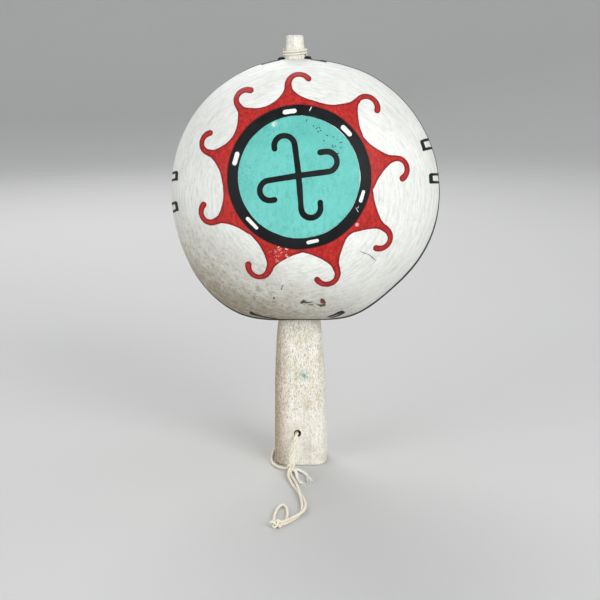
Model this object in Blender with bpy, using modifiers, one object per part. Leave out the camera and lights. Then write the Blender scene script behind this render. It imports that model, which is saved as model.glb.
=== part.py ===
"""A painted gourd rattle: a thin gourd shell on a wooden stick, loose pebbles inside it, and a cotton wrist cord.

Metres, +Z up. The origin is the centre of the flat butt that the stick stands on, and the painted front faces -Y.
The stick is one piece of wood: a grip, then a round rod that runs up through the gourd and ends in a small tip.
"""

import math

import bmesh
import bpy
from mathutils import Vector

GAP = 0.0003  # left between pieces that touch

# Gourd
GOURD_CENTRE = Vector((0.0036, 0.0, 0.1578))  # it sits a little to the right of the stick
GOURD_HALF = Vector((0.0743, 0.064, 0.0730))
GOURD_WALL = 0.0035
# Where the gourd is fuller or flatter than an ellipsoid: by what share, towards where, and how narrowly
SWELLS = (
    (0.068, Vector((-0.63, 0.0, -0.775)).normalized(), 10),
    (0.0215, Vector((0.951, 0.0, -0.309)).normalized(), 12),
    (-0.0215, Vector((0.225, 0.0, 0.974)).normalized(), 30),
    (0.036, Vector((0.345, -0.174, -0.922)).normalized(), 33),
    (0.025, Vector((-0.432, -0.174, -0.885)).normalized(), 38),
    (-0.012, Vector((-0.02, -0.2, -0.98)).normalized(), 40),
)
GOURD_SEGMENTS = 44
GOURD_RINGS = 24

# Stick
BUTT_SIZE = (0.0310, 0.0272)
GRIP_CENTRE_X = -0.0006  # the grip is carved a little to the left of the rod
GRIP_TOP_Z = 0.090  # before the gourd's underside is cut out of it
GRIP_TAPER = 0.104  # share of its width lost evenly on the way up
GRIP_SHOULDER = 0.215  # and the further share lost mostly near the gourd
GRIP_CORNER = 0.0068
GRIP_ROWS = 9
BUTT_EDGE = 0.0009
ROD_RADIUS = 0.0054
ROD_FOOT_Z = 0.060
TIP_RADIUS = 0.0047
TIP_TOP_Z = 0.2425
TIP_ROUNDING = 0.0016

# Lashing round the foot of the tip
THREAD_DIAMETER = 0.0012
LASHING_TURNS = 2.5
LASHING_PITCH = 0.0014
LASHING_POINTS_A_TURN = 14

# Cord
CORD_DIAMETER = 0.0028  # two strands laid together
STRAND_DIAMETER = 0.0016
HOLE_DIAMETER = 0.0036
HOLE_X = -0.0020
HOLE_Z = 0.0196
TIE_KNOT_CENTRE = Vector((-0.0052, -0.0230, 0.0027))
TIE_KNOT_HALF = Vector((0.0028, 0.0026, 0.0024))
END_KNOT_CENTRE = Vector((-0.0082, -0.1028, 0.0023))
END_KNOT_HALF = Vector((0.0036, 0.0026, 0.0021))

# Pebbles, in two rings round the rod: (how many, distance from the rod's axis, radius)
PEBBLE_RINGS = ((5, 0.0120, 0.0025), (7, 0.0205, 0.0029))
PEBBLE_FLATNESS = 0.82
PEBBLE_CLEARANCE = 0.0006  # to the wall's ideal surface, which its flat facets cut into a little

FRONT_ROUTE = (
    (-0.0020, -0.0010, 0.0196),
    (-0.0020, -0.0075, 0.0196),
    (-0.0020, -0.0132, 0.0196),
    (-0.0025, -0.0168, 0.0181),
    (-0.0036, -0.0192, 0.0148),
    (-0.0048, -0.0202, 0.0105),
    (-0.0053, -0.0212, 0.0063),
    (-0.0052, -0.0230, 0.0027),
)
TRAIL_ROUTE = (
    (-0.0052, -0.0230, 0.0027),
    (-0.0060, -0.0274, 0.0017),
    (-0.0053, -0.0340, 0.0015),
    (-0.0033, -0.0415, 0.0015),
    (-0.0007, -0.0510, 0.0015),
    (0.0018, -0.0605, 0.0015),
    (0.0037, -0.0695, 0.0015),
    (0.0046, -0.0775, 0.0015),
    (0.0042, -0.0845, 0.0015),
    (0.0021, -0.0902, 0.0015),
    (-0.0012, -0.0955, 0.0015),
    (-0.0045, -0.0995, 0.0016),
    (-0.0080, -0.1028, 0.0020),
)
BACK_ROUTE = (
    (-0.0020, 0.0000, 0.0196),
    (-0.0020, 0.0070, 0.0196),
    (-0.0021, 0.0134, 0.0196),
    (-0.0030, 0.0168, 0.0183),
    (-0.0048, 0.0186, 0.0150),
    (-0.0072, 0.0190, 0.0108),
    (-0.0102, 0.0184, 0.0068),
    (-0.0138, 0.0164, 0.0036),
    (-0.0165, 0.0126, 0.0016),
    (-0.0178, 0.0070, 0.0010),
    (-0.0179, 0.0000, 0.0010),
    (-0.0177, -0.0070, 0.0010),
    (-0.0164, -0.0126, 0.0010),
    (-0.0136, -0.0174, 0.0011),
    (-0.0096, -0.0207, 0.0015),
    (-0.0052, -0.0230, 0.0020),
)
TAIL_1_ROUTE = (
    (-0.0052, -0.0230, 0.0020),
    (-0.0010, -0.0238, 0.0014),
    (0.0020, -0.0266, 0.0010),
    (0.0040, -0.0308, 0.0009),
    (0.0053, -0.0358, 0.0009),
    (0.0060, -0.0410, 0.0009),
)
TAIL_2_ROUTE = (
    (-0.0052, -0.0230, 0.0020),
    (-0.0026, -0.0264, 0.0013),
    (-0.0018, -0.0310, 0.0009),
    (-0.0012, -0.0355, 0.0009),
    (0.0002, -0.0410, 0.0009),
    (0.0024, -0.0465, 0.0009),
)
EYE_ROUTE = (
    (-0.0082, -0.1028, 0.0018),
    (-0.0096, -0.0975, 0.0010),
    (-0.0100, -0.0915, 0.0010),
    (-0.0098, -0.0850, 0.0010),
    (-0.0089, -0.0785, 0.0010),
    (-0.0069, -0.0745, 0.0010),
    (-0.0048, -0.0775, 0.0010),
    (-0.0038, -0.0835, 0.0010),
    (-0.0034, -0.0890, 0.0010),
    (-0.0036, -0.0936, 0.0010),
)


def clear_scene():
    for old in list(bpy.data.objects):
        bpy.data.objects.remove(old, do_unlink=True)


def new_collection(name):
    collection = bpy.data.collections.new(name)
    bpy.context.scene.collection.children.link(collection)
    return collection


def material(name, colour, roughness):
    made = bpy.data.materials.new(name)
    made.use_nodes = True
    shader = made.node_tree.nodes["Principled BSDF"]
    shader.inputs["Base Color"].default_value = (*colour, 1.0)
    shader.inputs["Roughness"].default_value = roughness
    shader.inputs["Metallic"].default_value = 0.0
    return made


def place(name, data, finish, collection):
    made = bpy.data.objects.new(name, data)
    if finish:
        data.materials.append(finish)
    collection.objects.link(made)
    return made


def hide_cutter(cutter):
    cutter.hide_render = True
    cutter.display_type = "WIRE"


def boolean(target, other, operation):
    modifier = target.modifiers.new(f"{operation.lower()}_{other.name}", "BOOLEAN")
    modifier.operation = operation
    modifier.object = other
    modifier.solver = "EXACT"


def swell_at(direction):
    """How many times larger the gourd is in that direction than its plain ellipsoid."""
    return 1 + sum(
        share * max(0.0, direction.dot(towards)) ** sharpness for share, towards, sharpness in SWELLS
    )


def gourd_mesh(name, extra):
    """The gourd's closed outer surface, larger all round by extra."""
    mesh = bpy.data.meshes.new(name)
    built = bmesh.new()
    bmesh.ops.create_uvsphere(built, u_segments=GOURD_SEGMENTS, v_segments=GOURD_RINGS, radius=1.0)
    for vert in built.verts:
        direction = vert.co.normalized()
        half = GOURD_HALF + Vector((extra, extra, extra))
        vert.co = Vector(a * b for a, b in zip(direction, half)) * swell_at(direction)
    built.to_mesh(mesh)
    built.free()
    mesh.shade_smooth()
    return mesh


def cylinder(name, radius, length, centre, turn, collection, sides=24):
    mesh = bpy.data.meshes.new(name)
    built = bmesh.new()
    bmesh.ops.create_cone(
        built, cap_ends=True, segments=sides, radius1=radius, radius2=radius, depth=length
    )
    built.to_mesh(mesh)
    built.free()
    made = place(name, mesh, None, collection)
    made.location = centre
    made.rotation_euler = turn
    return made


def make_gourd(parts, cutters):
    finish = material("gourd_white", (0.77, 0.77, 0.72), 0.55)
    shell = place("gourd_shell", gourd_mesh("gourd_shell", 0.0), finish, parts)
    shell.location = GOURD_CENTRE
    thickness = shell.modifiers.new("wall", "SOLIDIFY")
    thickness.thickness = GOURD_WALL
    thickness.offset = -1.0
    thickness.use_even_offset = True
    bore_length = 3 * GOURD_HALF.z
    bore = cylinder(
        "rod_bore", ROD_RADIUS + GAP, bore_length, (0.0, 0.0, GOURD_CENTRE.z), (0, 0, 0), cutters, sides=32
    )
    hide_cutter(bore)
    boolean(shell, bore, "DIFFERENCE")


def grip_width(share):
    """The grip's width at that share of its height, as a share of the butt's."""
    return 1 - GRIP_TAPER * share - GRIP_SHOULDER * share**5


def grip_mesh():
    """A block with rounded corners, standing on its flat butt, that draws in towards the gourd."""
    mesh = bpy.data.meshes.new("handle_stick")
    built = bmesh.new()
    bmesh.ops.create_cube(built, size=1.0)
    for vert in built.verts:
        vert.co = Vector((vert.co.x * BUTT_SIZE[0], vert.co.y * BUTT_SIZE[1], (vert.co.z + 0.5) * GRIP_TOP_Z))
    upright = [e for e in built.edges if abs(e.verts[0].co.z - e.verts[1].co.z) > GRIP_TOP_Z / 2]
    bmesh.ops.bevel(built, geom=upright, offset=GRIP_CORNER, segments=5, profile=0.5, affect="EDGES")
    foot = [e for e in built.edges if max(v.co.z for v in e.verts) < GRIP_TOP_Z / 2]
    bmesh.ops.bevel(built, geom=foot, offset=BUTT_EDGE, segments=2, profile=0.5, affect="EDGES")
    for row in range(1, GRIP_ROWS):
        whole = [*built.verts, *built.edges, *built.faces]
        height = GRIP_TOP_Z * row / GRIP_ROWS
        bmesh.ops.bisect_plane(built, geom=whole, plane_co=(0.0, 0.0, height), plane_no=(0.0, 0.0, 1.0))
    for vert in built.verts:
        width = grip_width(vert.co.z / GRIP_TOP_Z)
        vert.co = Vector((vert.co.x * width + GRIP_CENTRE_X, vert.co.y * width, vert.co.z))
    built.to_mesh(mesh)
    built.free()
    return mesh


def turned(name, profile, steps, collection):
    """A solid of revolution about Z from (radius, z) points that run down its outer side."""
    mesh = bpy.data.meshes.new(name)
    mesh.from_pydata([(r, 0.0, z) for r, z in profile], [(i, i + 1) for i in range(len(profile) - 1)], [])
    made = place(name, mesh, None, collection)
    screw = made.modifiers.new("turn", "SCREW")
    screw.steps = steps
    screw.render_steps = steps
    screw.use_merge_vertices = True
    screw.merge_threshold = 0.00001
    return made


def rod_profile():
    quarter = [math.radians(90 * i / 4) for i in range(5)]
    crown = [
        (
            TIP_RADIUS - TIP_ROUNDING + TIP_ROUNDING * math.sin(a),
            TIP_TOP_Z - TIP_ROUNDING + TIP_ROUNDING * math.cos(a),
        )
        for a in quarter
    ]
    shoulder_z = GOURD_CENTRE.z + GOURD_HALF.z
    return [
        (0.0, TIP_TOP_Z),
        *crown,
        (ROD_RADIUS, shoulder_z),
        (ROD_RADIUS, ROD_FOOT_Z),
        (0.0, ROD_FOOT_Z),
    ]


def make_stick(parts, cutters):
    stick = place("handle_stick", grip_mesh(), material("grip_wood", (0.72, 0.66, 0.56), 0.7), parts)
    seat = place("gourd_seat", gourd_mesh("gourd_seat", GAP), None, cutters)
    seat.location = GOURD_CENTRE
    hole_length = 2 * BUTT_SIZE[1]
    hole = cylinder(
        "cord_hole", HOLE_DIAMETER / 2, hole_length, (HOLE_X, 0.0, HOLE_Z), (math.pi / 2, 0, 0), cutters, sides=16
    )
    rod = turned("through_rod", rod_profile(), 24, cutters)
    for tool in (seat, hole, rod):
        hide_cutter(tool)
    boolean(stick, seat, "DIFFERENCE")
    boolean(stick, hole, "DIFFERENCE")
    boolean(stick, rod, "UNION")


def smooth_points(route, step):
    """Points about step apart on a Catmull-Rom curve through the route."""
    points = [Vector(p) for p in route]
    ends = [2 * points[0] - points[1], *points, 2 * points[-1] - points[-2]]
    smooth = [points[0]]
    for before, start, stop, after in zip(ends, ends[1:], ends[2:], ends[3:]):
        count = max(1, round((stop - start).length / step))
        for i in range(1, count + 1):
            t = i / count
            smooth.append(
                0.5
                * (
                    2 * start
                    + (stop - before) * t
                    + (2 * before - 5 * start + 4 * stop - after) * t**2
                    + (3 * start - before - 3 * stop + after) * t**3
                )
            )
    return smooth


def outside(points, centre, half, margin):
    """The points that lie beyond a knot's surface by the margin."""
    return [p for p in points if Vector((p[i] - centre[i]) / (half[i] + margin) for i in range(3)).length > 1]


def tube(name, points, diameter, finish, collection):
    curve = bpy.data.curves.new(name, "CURVE")
    curve.dimensions = "3D"
    curve.bevel_depth = diameter / 2
    curve.bevel_resolution = 2
    curve.use_fill_caps = True
    curve.resolution_u = 1
    spline = curve.splines.new("POLY")
    spline.points.add(len(points) - 1)
    for place_at, point in zip(spline.points, points):
        place_at.co = (*point, 1.0)
    return place(name, curve, finish, collection)


def knot(name, centre, half, finish, collection):
    mesh = bpy.data.meshes.new(name)
    built = bmesh.new()
    bmesh.ops.create_icosphere(built, subdivisions=2, radius=1.0)
    for vert in built.verts:
        vert.co = Vector(a * b for a, b in zip(vert.co, half))
    built.to_mesh(mesh)
    built.free()
    made = place(name, mesh, finish, collection)
    made.location = centre


def make_cord(parts):
    cotton = material("cord_cotton", (0.80, 0.72, 0.56), 0.9)
    tie = (TIE_KNOT_CENTRE, TIE_KNOT_HALF)
    end = (END_KNOT_CENTRE, END_KNOT_HALF)
    knot("tie_knot", *tie, cotton, parts)
    knot("end_knot", *end, cotton, parts)
    pieces = (
        ("wrist_cord_front", FRONT_ROUTE, CORD_DIAMETER, [tie]),
        ("wrist_cord_trail", TRAIL_ROUTE, CORD_DIAMETER, [tie, end]),
        ("wrist_cord_back", BACK_ROUTE, STRAND_DIAMETER, [tie]),
        ("cord_tail_1", TAIL_1_ROUTE, STRAND_DIAMETER, [tie]),
        ("cord_tail_2", TAIL_2_ROUTE, STRAND_DIAMETER, [tie]),
        ("end_eye", EYE_ROUTE, STRAND_DIAMETER, [end]),
    )
    for name, route, diameter, knots in pieces:
        points = smooth_points(route, diameter / 4)
        for centre, half in knots:
            points = outside(points, centre, half, GAP)
        spaced = [*points[:-1:6], points[-1]]
        tube(name, spaced, diameter, cotton, parts)


def make_lashing(parts):
    wind_radius = ROD_RADIUS + GAP + THREAD_DIAMETER / 2
    start_z = GOURD_CENTRE.z + GOURD_HALF.z + GAP + THREAD_DIAMETER / 2
    count = round(LASHING_TURNS * LASHING_POINTS_A_TURN)
    points = []
    for i in range(count + 1):
        turn = i / LASHING_POINTS_A_TURN
        angle = 2 * math.pi * turn
        height = start_z + LASHING_PITCH * turn
        points.append((wind_radius * math.cos(angle), wind_radius * math.sin(angle), height))
    tube("tip_lashing", points, THREAD_DIAMETER, material("lashing_thread", (0.78, 0.72, 0.60), 0.9), parts)


def wall_distance(point):
    """About how far a point inside the chamber is from the gourd's inner wall."""
    from_centre = point - GOURD_CENTRE
    half = GOURD_HALF - Vector((GOURD_WALL, GOURD_WALL, GOURD_WALL))
    scaled = Vector(a / b for a, b in zip(from_centre, half))
    slope = Vector(a / b for a, b in zip(scaled, half)).length / scaled.length
    return (swell_at(scaled.normalized()) - scaled.length) / slope


def furthest(x, y, side, wanted):
    """The height, below (side -1) or above (side 1) the chamber's middle, where the wall is that near."""
    near, far = 0.001, GOURD_HALF.z
    for _ in range(40):
        middle = (near + far) / 2
        if wall_distance(Vector((x, y, GOURD_CENTRE.z + side * middle))) > wanted:
            near = middle
        else:
            far = middle
    return GOURD_CENTRE.z + side * near


def pebble_places():
    """(name, centre at rest, radius, how far it can fly up) for each pebble."""
    places = []
    for ring, (count, distance, radius) in enumerate(PEBBLE_RINGS):
        for i in range(count):
            angle = 2 * math.pi * (i + 0.35 * ring) / count + 0.4
            away = distance * (1 + 0.08 * math.sin(5 * angle + ring))
            x = away * math.cos(angle)
            y = away * math.sin(angle)
            size = radius * (1 + 0.1 * math.sin(7 * angle + 2 * ring))
            wanted = size + PEBBLE_CLEARANCE
            low = furthest(x, y, -1, wanted)
            high = furthest(x, y, 1, wanted)
            places.append((f"pebble_{len(places) + 1:02d}", Vector((x, y, low)), size, high - low))
    return places


def make_pebbles(parts):
    for name, centre, size, _ in pebble_places():
        mesh = bpy.data.meshes.new(name)
        built = bmesh.new()
        bmesh.ops.create_icosphere(built, subdivisions=1, radius=size)
        for vert in built.verts:
            vert.co.z *= PEBBLE_FLATNESS
        built.to_mesh(mesh)
        built.free()
        pebble = place(name, mesh, material(name, (0.30, 0.26, 0.22), 0.6), parts)
        pebble.location = centre


def main():
    clear_scene()
    parts = new_collection("gourd_rattle")
    cutters = new_collection("cutters")
    make_gourd(parts, cutters)
    make_stick(parts, cutters)
    make_lashing(parts)
    make_cord(parts)
    make_pebbles(parts)


main()
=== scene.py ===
"""The looks of a painted gourd rattle: whitewashed gourd, painted sun, carved stick, cotton cord.

Everything is in metres in the frame's own axes: +Z up the stick, and the painted front faces -Y.
Paint is a thin film of mesh laid on the gourd, cut from formulas for discs, rays and strokes.
"""

import math
import random

import bmesh
import bpy
import numpy as np
from mathutils import Matrix, Vector, noise
from mathutils.bvhtree import BVHTree


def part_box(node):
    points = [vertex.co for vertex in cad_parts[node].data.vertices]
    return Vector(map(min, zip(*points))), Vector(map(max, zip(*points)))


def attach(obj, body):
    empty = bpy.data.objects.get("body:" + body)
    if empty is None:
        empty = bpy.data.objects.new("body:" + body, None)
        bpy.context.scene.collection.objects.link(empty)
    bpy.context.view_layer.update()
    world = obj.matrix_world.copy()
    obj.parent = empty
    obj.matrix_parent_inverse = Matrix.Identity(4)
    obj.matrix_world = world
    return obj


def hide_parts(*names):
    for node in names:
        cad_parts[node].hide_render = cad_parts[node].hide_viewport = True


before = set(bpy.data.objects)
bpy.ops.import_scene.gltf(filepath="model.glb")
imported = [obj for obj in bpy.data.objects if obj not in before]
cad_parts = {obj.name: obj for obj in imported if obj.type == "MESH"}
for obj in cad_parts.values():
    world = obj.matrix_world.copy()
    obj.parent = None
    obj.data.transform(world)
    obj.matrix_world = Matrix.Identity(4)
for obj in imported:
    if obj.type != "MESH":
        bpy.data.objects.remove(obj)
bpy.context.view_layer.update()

BODY = "rattle"

# The gourd's form, as in the CAD model
GOURD_HALF = Vector((0.0743, 0.064, 0.0730))
GOURD_CENTRE = Vector((0.0036, 0.0, 0.1578))
GOURD_WALL = 0.0035
# Where the gourd is fuller or flatter than an ellipsoid: by what share, towards where, and how narrowly
SWELLS = (
    (0.068, Vector((-0.63, 0.0, -0.775)).normalized(), 10),
    (0.0215, Vector((0.951, 0.0, -0.309)).normalized(), 12),
    (-0.0215, Vector((0.225, 0.0, 0.974)).normalized(), 30),
    (0.036, Vector((0.345, -0.174, -0.922)).normalized(), 33),
    (0.025, Vector((-0.432, -0.174, -0.885)).normalized(), 38),
    (-0.012, Vector((-0.02, -0.2, -0.98)).normalized(), 40),
)
GOURD_RADIUS = GOURD_HALF.x
SHOULDER_Z = GOURD_CENTRE.z + GOURD_HALF.z  # about where the tip comes out of the gourd

# The stick
GRAFT = 0.0002  # how far the grip's top stays below the gourd's skin
BUTT_SIZE = (0.0310, 0.0272)
GRIP_CENTRE_X = -0.0006
GRIP_TAPER = 0.104
GRIP_SHOULDER = 0.215
ROD_RADIUS = 0.0054
ROD_FOOT_Z = 0.060
ROD_GAP = 0.0003  # round the rod, at the gourd's two holes
TIP_RADIUS = 0.0047
TIP_TOP_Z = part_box("handle_stick")[1][2]
HOLE_RADIUS = 0.0018
HOLE_X = -0.0020
HOLE_Z = 0.0196
HOLE_LENGTH = 0.012  # of the cord, from where it starts inside the hole


def from_mm(*points):
    """A line of points that are given in millimetres, in metres."""
    return [tuple(round(c / 1000, 7) for c in point) for point in points]


# The cord
STRAND_DIAMETER = 0.0016
STRAND_PITCH = 0.0036
CORD_PITCH = 0.0125
CORD_STEP = 0.0004
FRONT_ROUTE = from_mm(
    (-2.4, -1, 19.2), (-2.4, -7.5, 19.2), (-2.5, -13.2, 19.1), (-2.5, -16.8, 18.1), (-3.6, -19.2, 14.8),
    (-4.8, -20.2, 10.5), (-5.3, -21.2, 6.3), (-5.2, -23, 2.7),
)
TRAIL_ROUTE = from_mm(
    (-5.2, -23, 2.7), (-6, -27.4, 1.7), (-5.3, -34, 1.5), (-3.3, -41.5, 1.5), (-0.7, -51, 1.5),
    (1.8, -60.5, 1.5), (3.7, -69.5, 1.5), (4.6, -77.5, 1.5), (4.2, -84.5, 1.5), (2.1, -90.2, 1.5),
    (-1.2, -95.5, 1.5), (-4.5, -99.5, 1.6), (-8, -102.8, 2),
)
BACK_ROUTE = from_mm(
    (-2, 0, 19.6), (-2, 7, 19.6), (-2.1, 13.4, 19.6), (-3, 16.8, 18.3), (-4.8, 18.6, 15), (-7.2, 19, 10.8),
    (-10.2, 18.4, 6.8), (-13.8, 16.4, 3.6), (-16.5, 12.6, 1.6), (-17.8, 7, 1), (-17.9, 0, 1),
    (-17.7, -7, 1), (-16.4, -12.6, 1), (-13.6, -17.4, 1.1), (-9.6, -20.7, 1.5), (-5.2, -23, 2),
)
TAIL_1_ROUTE = from_mm(
    (-5.2, -23, 2), (-1, -23.8, 1.4), (2, -26.6, 1), (4, -30.8, 0.9), (5.3, -35.8, 0.9), (6, -41, 0.9),
)
TAIL_2_ROUTE = from_mm(
    (-5.2, -23, 2), (-2.6, -26.4, 1.3), (-1.8, -31, 0.9), (-1.2, -35.5, 0.9), (0.2, -41, 0.9),
    (2.4, -46.5, 0.9),
)
EYE_ROUTE = from_mm(
    (-8.2, -102.8, 1.8), (-9.6, -97.5, 1), (-10, -91.5, 1), (-9.8, -85, 1), (-8.9, -78.5, 1),
    (-6.9, -74.5, 1), (-4.8, -77.5, 1), (-3.8, -83.5, 1), (-3.4, -89, 1), (-3.6, -93.6, 1),
)

# The camera
CAMERA_AZIMUTH = math.radians(3.0)
CAMERA_ELEVATION = math.radians(8.0)
CAMERA_DISTANCE = 0.70
CAMERA_CENTRE = Vector((0.0040, 0.0, 0.1562))
CAMERA_AIM = Vector((0.0001, 0.0, 0.0949))
CAMERA_LENS = 75.0
CAMERA_ROLL = 1.1


# ---------------------------------------------------------------- helpers


def link(obj):
    bpy.context.scene.collection.objects.link(obj)
    return obj


def mesh_object(name, verts, faces, material):
    mesh = bpy.data.meshes.new(name)
    mesh.from_pydata([tuple(v) for v in verts], [], faces)
    mesh.validate()
    mesh.shade_smooth()
    if material:
        mesh.materials.append(material)
    return link(bpy.data.objects.new(name, mesh))


def bmesh_object(name, built, material):
    mesh = bpy.data.meshes.new(name)
    built.to_mesh(mesh)
    built.free()
    mesh.shade_smooth()
    mesh.materials.append(material)
    return link(bpy.data.objects.new(name, mesh))


def lumpy_ball(name, centre, half, lumps, material):
    """A ball of half that size each way; lumps gives its swelling in a direction."""
    built = bmesh.new()
    bmesh.ops.create_icosphere(built, subdivisions=4, radius=1.0)
    for vert in built.verts:
        vert.co = centre + Vector(a * b for a, b in zip(vert.co * lumps(vert.co), half))
    return bmesh_object(name, built, material)


def belongs(obj, slot, *nodes, body=BODY):
    """Rides obj on its body, in place of those CAD nodes; slot is not used."""
    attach(obj, body)
    if nodes:
        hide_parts(*nodes)
    return obj


def bake_modifiers(obj):
    """Applies obj's modifiers, so that its own mesh is its final one."""
    evaluated = obj.evaluated_get(bpy.context.evaluated_depsgraph_get())
    mesh = bpy.data.meshes.new_from_object(evaluated)
    obj.modifiers.clear()
    obj.data = mesh


def boolean(target, other, operation):
    modifier = target.modifiers.new(operation.lower(), "BOOLEAN")
    modifier.operation = operation
    modifier.object = other
    modifier.solver = "EXACT"
    bake_modifiers(target)
    bpy.data.objects.remove(other, do_unlink=True)


def frames_along(points):
    """Unit tangents and two normals that turn as little as possible along a line of points."""
    points = np.asarray(points)
    tangents = np.gradient(points, axis=0)
    tangents /= np.linalg.norm(tangents, axis=1)[:, None]
    side = np.cross(tangents[0], (0.0, 0.0, 1.0))
    if np.linalg.norm(side) < 0.1:
        side = np.cross(tangents[0], (1.0, 0.0, 0.0))
    sides = [side / np.linalg.norm(side)]
    for tangent in tangents[1:]:
        side = sides[-1] - tangent * np.dot(sides[-1], tangent)
        sides.append(side / np.linalg.norm(side))
    sides = np.array(sides)
    return tangents, sides, np.cross(tangents, sides)


def lengths_along(line):
    return np.concatenate([[0], np.cumsum(np.linalg.norm(np.diff(line, axis=0), axis=1))])


def resample(points, step):
    points = np.asarray(points)
    lengths = lengths_along(points)
    at = np.linspace(0, lengths[-1], max(2, round(lengths[-1] / step) + 1))
    return np.stack([np.interp(at, lengths, points[:, k]) for k in range(3)], axis=1)


def smooth_line(points, step):
    """Evenly spaced points on a Catmull-Rom curve through points."""
    points = np.asarray(points, float)
    ends = np.vstack([2 * points[0] - points[1], points, 2 * points[-1] - points[-2]])
    line = [points[0]]
    for before, start, stop, after in zip(ends, ends[1:], ends[2:], ends[3:]):
        for t in np.linspace(0, 1, 17)[1:]:
            curve = (2 * before - 5 * start + 4 * stop - after) * t**2
            turn = (3 * start - before - 3 * stop + after) * t**3
            line.append(0.5 * (2 * start + (stop - before) * t + curve + turn))
    return resample(line, step)


def winding(line, offset, pitch, phase):
    """A helix of that offset and pitch round a line: the line of one strand in a twist."""
    _, sides, ups = frames_along(line)
    angles = 2 * math.pi * lengths_along(line) / pitch + phase
    return line + offset * (np.cos(angles)[:, None] * sides + np.sin(angles)[:, None] * ups)


def parted(line, phase, twisted_until, apart):
    """One strand of a two-strand cord: twisted at first, then lying loosely beside the other."""
    _, sides, ups = frames_along(line)
    along = lengths_along(line)
    loose = np.clip((along - twisted_until) / (along[-1] - twisted_until), 0, 1)
    angles = 2 * math.pi * (np.minimum(along, twisted_until) / CORD_PITCH + 1.1 * loose) + phase
    belly = np.sin(math.pi * np.clip((along - HOLE_LENGTH) / (twisted_until - HOLE_LENGTH), 0, 1))
    close = STRAND_DIAMETER * (0.26 + 0.26 * belly + 0.16 * np.clip(12 * loose, 0, 1))
    sway = close + (apart - close) * np.sin(math.pi * loose**0.6) ** 2
    rise = close - STRAND_DIAMETER * 0.12 * np.sin(math.pi * loose) ** 2
    strand = line + (sway * np.cos(angles))[:, None] * sides + (rise * np.sin(angles))[:, None] * ups
    strand[:, 2] = np.maximum(strand[:, 2], STRAND_DIAMETER * 0.52)
    return strand


class Heap:
    """Vertices and faces of several tubes that make one mesh."""

    def __init__(self):
        self.verts = []
        self.faces = []

    def tube(self, line, radius, sides):
        """A capped tube; radius is a number, or one for each point."""
        line = np.asarray(line)
        radii = np.broadcast_to(radius, len(line))
        _, across, up = frames_along(line)
        start = len(self.verts)
        for point, a, u, r in zip(line, across, up, radii):
            for k in range(sides):
                angle = 2 * math.pi * k / sides
                self.verts.append(point + r * (math.cos(angle) * a + math.sin(angle) * u))
        for i in range(len(line) - 1):
            for k in range(sides):
                low = start + i * sides
                high = low + sides
                self.faces.append((low + k, low + (k + 1) % sides, high + (k + 1) % sides, high + k))
        last = start + (len(line) - 1) * sides
        self.faces.append(tuple(start + k for k in reversed(range(sides))))
        self.faces.append(tuple(last + k for k in range(sides)))

    def strand(self, line, diameter, pitch, phase=0.0):
        """One cotton strand: two plies twisted round each other."""
        ply = diameter * 0.31
        for k in range(2):
            self.tube(winding(line, diameter / 2 - ply, pitch, phase + math.pi * k), ply, 8)

    def fuzz(self, line, reach, count, rng):
        """Short loose fibres that stand out from a strand, above the ground."""
        tangents, sides, ups = frames_along(line)
        for _ in range(count):
            i = rng.randrange(2, len(line) - 2)
            angle = rng.uniform(0, 2 * math.pi)
            out = math.cos(angle) * sides[i] + math.sin(angle) * ups[i]
            along = tangents[i] * rng.uniform(-1.0, 1.0)
            length = rng.uniform(0.5, 1.0) * reach
            hair = [line[i] + (out + along * t * 0.8) * length * t for t in (0.1, 0.45, 0.75, 1.0)]
            hair = [np.array((p[0], p[1], max(p[2], 0.00008))) for p in hair]
            self.tube(hair, [0.00004, 0.000035, 0.00003, 0.00002], 3)

    def build(self, name, material):
        return mesh_object(name, self.verts, self.faces, material)


# ---------------------------------------------------------------- materials


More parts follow.
